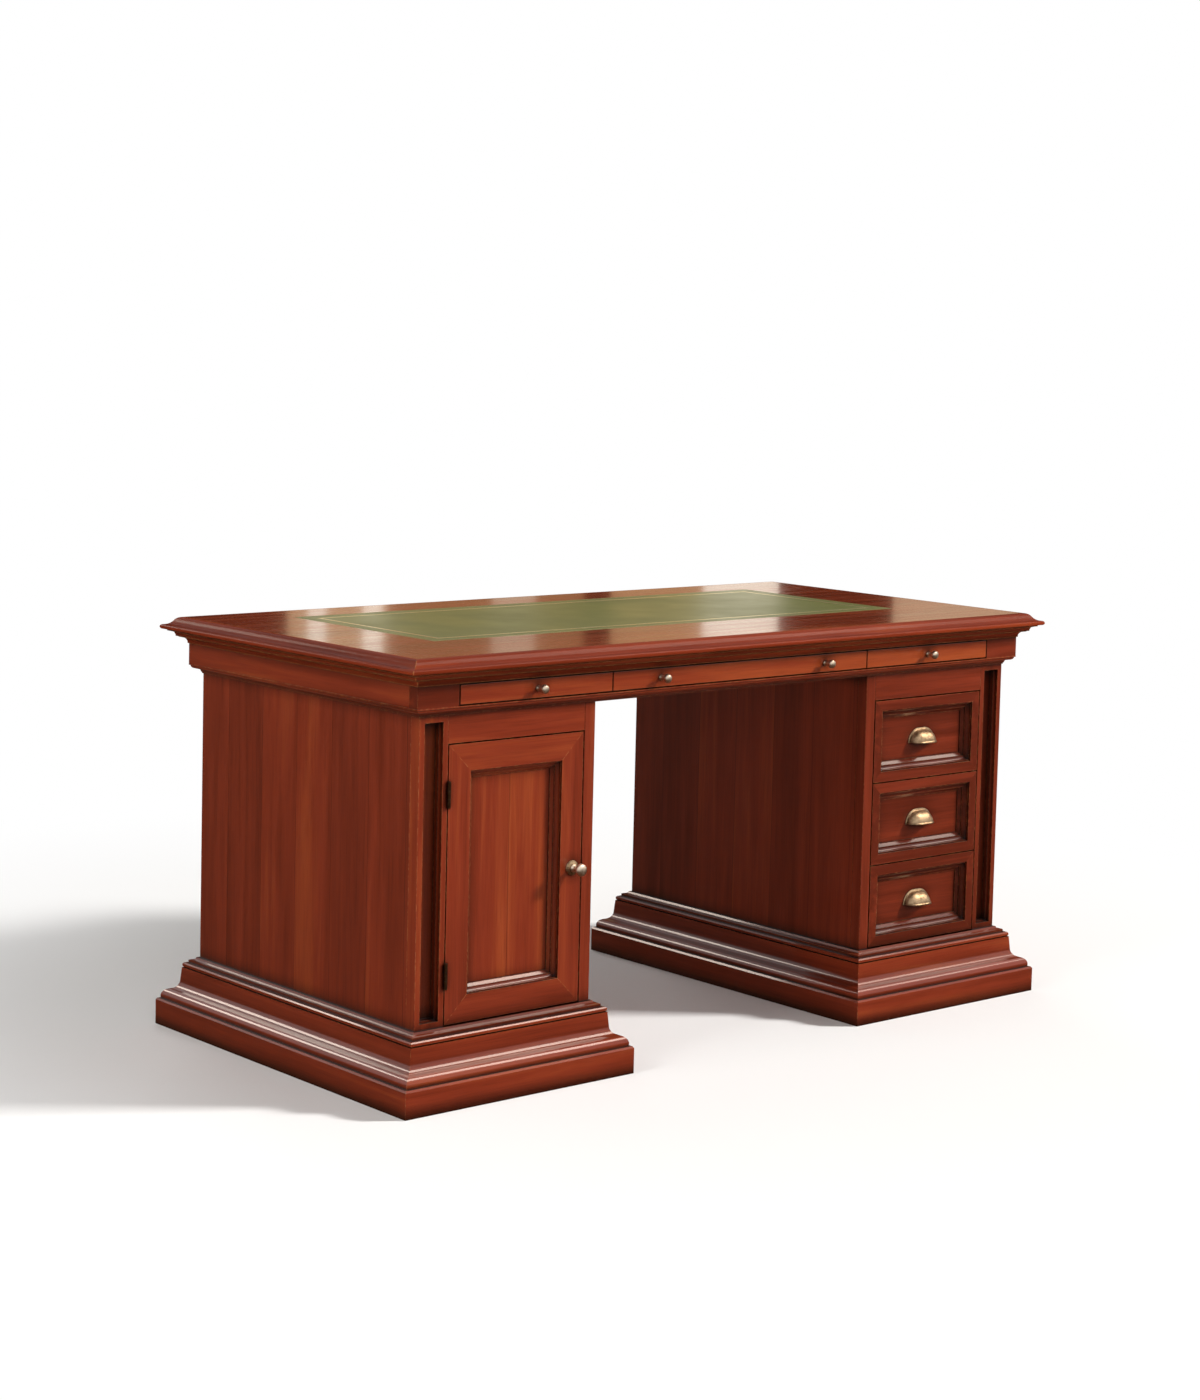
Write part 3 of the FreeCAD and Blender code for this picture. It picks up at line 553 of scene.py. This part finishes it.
def makeLeather():
    # a sheet with a rolled edge and a border pressed into it, drawn as rectangles set one inside the other
    low, high = (Vector(corner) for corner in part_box("leather_inset"))
    depth = leatherLook["lineDepth"]
    edge = leatherLook["edge"]
    roll = edge * leatherLook["edgeRoll"]
    # inset, height, and whether it bounds a gilt band
    steps = [(0.0, low.z, False), (0.0, high.z - edge, False),
             (roll, high.z - roll, False), (edge, high.z, False)]
    for inset, width in leatherLook["lines"]:
        steps += [(inset, high.z, False), (inset + depth, high.z - depth, True),
                  (inset + width - depth, high.z - depth, True), (inset + width, high.z, False)]
    sheet = bmesh.new()
    rings = []
    for inset, height, gilt in steps:
        corners = ((low.x + inset, low.y + inset), (high.x - inset, low.y + inset),
                   (high.x - inset, high.y - inset), (low.x + inset, high.y - inset))
        ring = [sheet.verts.new((x, y, height)) for x, y in corners]
        rings.append((ring, gilt))
    for (outer, giltBefore), (inner, giltAfter) in zip(rings, rings[1:]):
        for i in range(4):
            face = sheet.faces.new((outer[i], outer[(i + 1) % 4], inner[(i + 1) % 4], inner[i]))
            face.material_index = 1 if giltBefore and giltAfter else 0
    sheet.faces.new(rings[-1][0])
    sheet.faces.new(rings[0][0][::-1])
    leather = addPiece("leather_sheet", sheet, dyedLeather(), "desk", "leather_inset")
    leather.data.shade_flat()
    leather.data.materials.append(goldLeaf())


makeLeather()
print("leather done")


# Eased arrises on the flat boards, so that their edges catch the light

easing = {
    "width": 0.9 * mm,
    "segments": 2,
    "angle": math.radians(40),
    "mostFaces": 60,           # a node with more is moulded or turned
    "leftSharp": ("top_board", "leather_inset"),
}
for name, node in nodes.items():
    if len(node.data.polygons) <= easing["mostFaces"] and name not in easing["leftSharp"]:
        weld = node.modifiers.new("joined", "WELD")
        weld.merge_threshold = joinReach
        eased = node.modifiers.new("eased", "BEVEL")
        eased.width = easing["width"]
        eased.segments = easing["segments"]
        eased.angle_limit = easing["angle"]
print("arrises eased")


# Stage: pale floor, white backdrop through the world, soft lamps, and cards that only reflections see

stageLook = {
    "floor": "#f3f1ee",
    "floorSize": 30.0,
    "floorRoughness": 0.8,
    "floorShine": 0.1,
    "floorFade": (0.9, 2.4),    # metres from the middle of the desk
    "backdrop": "#ffffff",
    "ambient": 0.17,
    "mirrored": "#584335",      # the dim floor of the room that reflections see
    "horizon": (-0.04, 0.08),   # where that floor gives way to the pale backdrop
}
cameraLook = {
    "place": (-3.5648, -4.1034, 1.3585),
    "turn": 40.539,             # degrees from +Y towards +X
    "tilt": -4.752,
    "roll": 1.357,
    "focal": 2788.0,            # pixels
    "axisRow": 550,             # pixel row that the lens points at
    "imageHeight": 1400,        # pixels, of the 1200 x 1400 image
    "sensor": 36.0,
}
lamps = {
    # name: (place, aimed at, width, height, power)
    "key": ((10.0, -7.6, 7.4), (0.0, 0.0, 0.4), 1.9, 1.9, 2850),
    "front": ((-2.4, -3.8, 2.0), (-0.4, 0.0, 0.4), 1.4, 1.4, 28),
    "side": ((-3.9, -0.4, 2.4), (-0.8, 0.0, 0.4), 1.6, 1.6, 72),
    "back": ((0.9, 3.0, 3.1), (0.0, 0.0, 0.5), 1.8, 1.0, 30),
}
# What the polish of the top mirrors: a warm room with bright windows
room = {
    # name: (from and to in degrees off the camera's turn, height, colour, level)
    "wallDark": (-13.0, 15.0, 2.2, "#2c1d13", 1.0),
    "wallLeft": (-6.40, -4.35, 0.58, "#ffd9a8", 0.75),
    "windowFarLeft": (-5.98, -5.61, 0.58, "#fff4e0", 1.5),
    "windowLeft": (-4.85, -4.45, 0.58, "#fff4e0", 1.6),
    "wallDim": (-4.35, -0.30, 0.58, "#ffc48a", 0.38),
    "windowMiddle": (-2.20, -1.30, 0.58, "#ffe2c0", 0.75),
    "wallRight": (0.25, 2.15, 0.58, "#ffcf98", 0.62),
    "windowRight": (2.15, 3.70, 0.58, "#fff3e0", 1.5),
    "wallFarRight": (6.05, 8.60, 0.58, "#ffdcb4", 0.75),
}
roomLook = {"distance": 7.9, "middle": 1.13, "step": 0.02}  # from the camera, above the floor, between cards
# Windows that draw a bright line along the mouldings
windows = {
    # name: (place, aimed at, width, height, colour, level)
    "windowBack": ((-1.9, 3.6, 2.5), (-0.8, 0.0, 0.1), 1.1, 1.1, "#fff2e4", 11.0),
    "windowFront": ((1.9, -1.4, 3.1), (-0.55, -0.4, 0.1), 1.5, 1.5, "#fff2e4", 12.0),
    "windowRightHigh": ((3.7, -1.4, 3.2), (0.55, -0.4, 0.3), 1.2, 1.0, "#fff2e4", 7.0),
}


def aimed(thing, place, aim):
    thing.location = place
    thing.rotation_euler = (Vector(aim) - Vector(place)).to_track_quat("-Z", "Y").to_euler()


def rectangle(name, width, depth):
    mesh = bpy.data.meshes.new(name)
    corners = [(x * width / 2, y * depth / 2, 0) for x, y in ((-1, -1), (1, -1), (1, 1), (-1, 1))]
    mesh.from_pydata(corners, [], [(0, 1, 2, 3)])
    return mesh


def addLamp(name, place, aim, width, height, power):
    light = bpy.data.lights.new(name, "AREA")
    light.shape = "RECTANGLE"
    light.size = width
    light.size_y = height
    light.energy = power
    lamp = bpy.data.objects.new(name, light)
    aimed(lamp, place, aim)
    lamp.visible_camera = False
    lamp.visible_glossy = False  # the polish mirrors the cards instead
    bpy.context.scene.collection.objects.link(lamp)


def makeFloor():
    # a matt painted floor: the eye gets a pale ground with the desk's soft shadow
    mesh = rectangle("floor", stageLook["floorSize"], stageLook["floorSize"])
    floor = bpy.data.objects.new("floor", mesh)
    material, tree = newMaterial("painted_floor")
    shader = addNode(tree, "BsdfPrincipled", {"Base Color": linear(stageLook["floor"]),
                                              "Roughness": stageLook["floorRoughness"],
                                              "Specular IOR Level": stageLook["floorShine"]})
    # away from the desk the floor runs out into the white of the backdrop
    near, far = stageLook["floorFade"]
    place = addNode(tree, "TexCoord")
    away = addNode(tree, "VectorMath", {"operation": "LENGTH"}, {0: place.outputs["Object"]})
    fade = addNode(tree, "MapRange", {"interpolation_type": "SMOOTHSTEP", 1: near, 2: far, 3: 0.0, 4: 1.0},
                   {0: away.outputs["Value"]})
    path = addNode(tree, "LightPath")
    seen = addNode(tree, "Math", {"operation": "MULTIPLY"},
                   {0: fade.outputs[0], 1: path.outputs["Is Camera Ray"]})
    white = addNode(tree, "Emission", {"Color": linear(stageLook["backdrop"]), "Strength": 1.0})
    both = addNode(tree, "MixShader", links={0: seen.outputs[0], 1: shader.outputs[0], 2: white.outputs[0]})
    addNode(tree, "OutputMaterial", links={0: both.outputs[0]})
    mesh.materials.append(material)
    floor.visible_glossy = False  # the polish mirrors the dim floor of the world instead
    bpy.context.scene.collection.objects.link(floor)


def makeCard(name, place, aim, width, height, colour, level):
    # a glowing card that only reflections see
    mesh = rectangle(name, width, height)
    card = bpy.data.objects.new(name, mesh)
    aimed(card, place, aim)
    material, tree = newMaterial(name + "_lit_card")
    glow = addNode(tree, "Emission", {"Color": linear(colour), "Strength": level})
    addNode(tree, "OutputMaterial", links={0: glow.outputs[0]})
    mesh.materials.append(material)
    for ray in ("camera", "diffuse", "shadow", "transmission", "volume_scatter"):
        setattr(card, "visible_" + ray, False)
    bpy.context.scene.collection.objects.link(card)


def makeRoom():
    eyeX, eyeY = cameraLook["place"][:2]
    middle = roomLook["middle"]
    for order, (name, (start, stop, tall, colour, level)) in enumerate(room.items()):
        distance = roomLook["distance"] - roomLook["step"] * order  # later cards hang further forward
        angle = math.radians(cameraLook["turn"] + (start + stop) / 2)
        place = (eyeX + distance * math.sin(angle), eyeY + distance * math.cos(angle), middle)
        width = 2 * distance * math.tan(math.radians(stop - start) / 2)
        makeCard(name, place, (eyeX, eyeY, middle), width, tall, colour, level)


def makeWorld():
    world = bpy.data.worlds.new("studio")
    world.use_nodes = True
    tree = world.node_tree
    tree.nodes.clear()
    path = addNode(tree, "LightPath")
    straight = addNode(tree, "Math", {"operation": "MAXIMUM"},
                       {0: path.outputs["Is Camera Ray"], 1: path.outputs["Is Transmission Ray"]})
    # reflections show the pale backdrop above the horizon and a dim floor below it
    low, high = stageLook["horizon"]
    place = addNode(tree, "TexCoord")
    way = addNode(tree, "SeparateXYZ", links={0: place.outputs["Generated"]})
    above = addNode(tree, "MapRange", {1: low, 2: high, 3: 0.0, 4: 1.0}, {0: way.outputs["Z"]})
    glossy = addNode(tree, "Math", {"operation": "MULTIPLY"},
                     {0: path.outputs["Is Glossy Ray"], 1: above.outputs[0]})
    seen = addNode(tree, "Math", {"operation": "MAXIMUM"}, {0: straight.outputs[0], 1: glossy.outputs[0]})
    white = linear(stageLook["backdrop"])
    soft = addNode(tree, "Background", {"Color": white, "Strength": stageLook["ambient"]})
    mirrored = addNode(tree, "Background", {"Color": linear(stageLook["mirrored"]), "Strength": 1.0})
    backdrop = addNode(tree, "Background", {"Color": white, "Strength": 1.0})
    light = addNode(tree, "MixShader", links={0: path.outputs["Is Glossy Ray"], 1: soft.outputs[0],
                                              2: mirrored.outputs[0]})
    both = addNode(tree, "MixShader", links={0: seen.outputs[0], 1: light.outputs[0], 2: backdrop.outputs[0]})
    addNode(tree, "OutputWorld", links={0: both.outputs[0]})
    bpy.context.scene.world = world


def makeCamera():
    data = bpy.data.cameras.new("camera")
    data.sensor_width = cameraLook["sensor"]
    data.lens = cameraLook["focal"] * cameraLook["sensor"] / cameraLook["imageHeight"]
    data.shift_y = cameraLook["axisRow"] / cameraLook["imageHeight"] - 0.5
    camera = bpy.data.objects.new("camera", data)
    aim = Euler((math.radians(90 + cameraLook["tilt"]), 0.0, -math.radians(cameraLook["turn"]))).to_matrix()
    aim = aim @ Matrix.Rotation(math.radians(cameraLook["roll"]), 3, "Z")
    camera.matrix_world = Matrix.Translation(cameraLook["place"]) @ aim.to_4x4()
    bpy.context.scene.collection.objects.link(camera)
    bpy.context.scene.camera = camera


makeFloor()
makeRoom()
for name, settings in windows.items():
    makeCard(name, *settings)
makeWorld()
makeCamera()
for name, settings in lamps.items():
    addLamp(name, *settings)
bpy.context.scene.view_settings.view_transform = "Standard"
print("stage done")
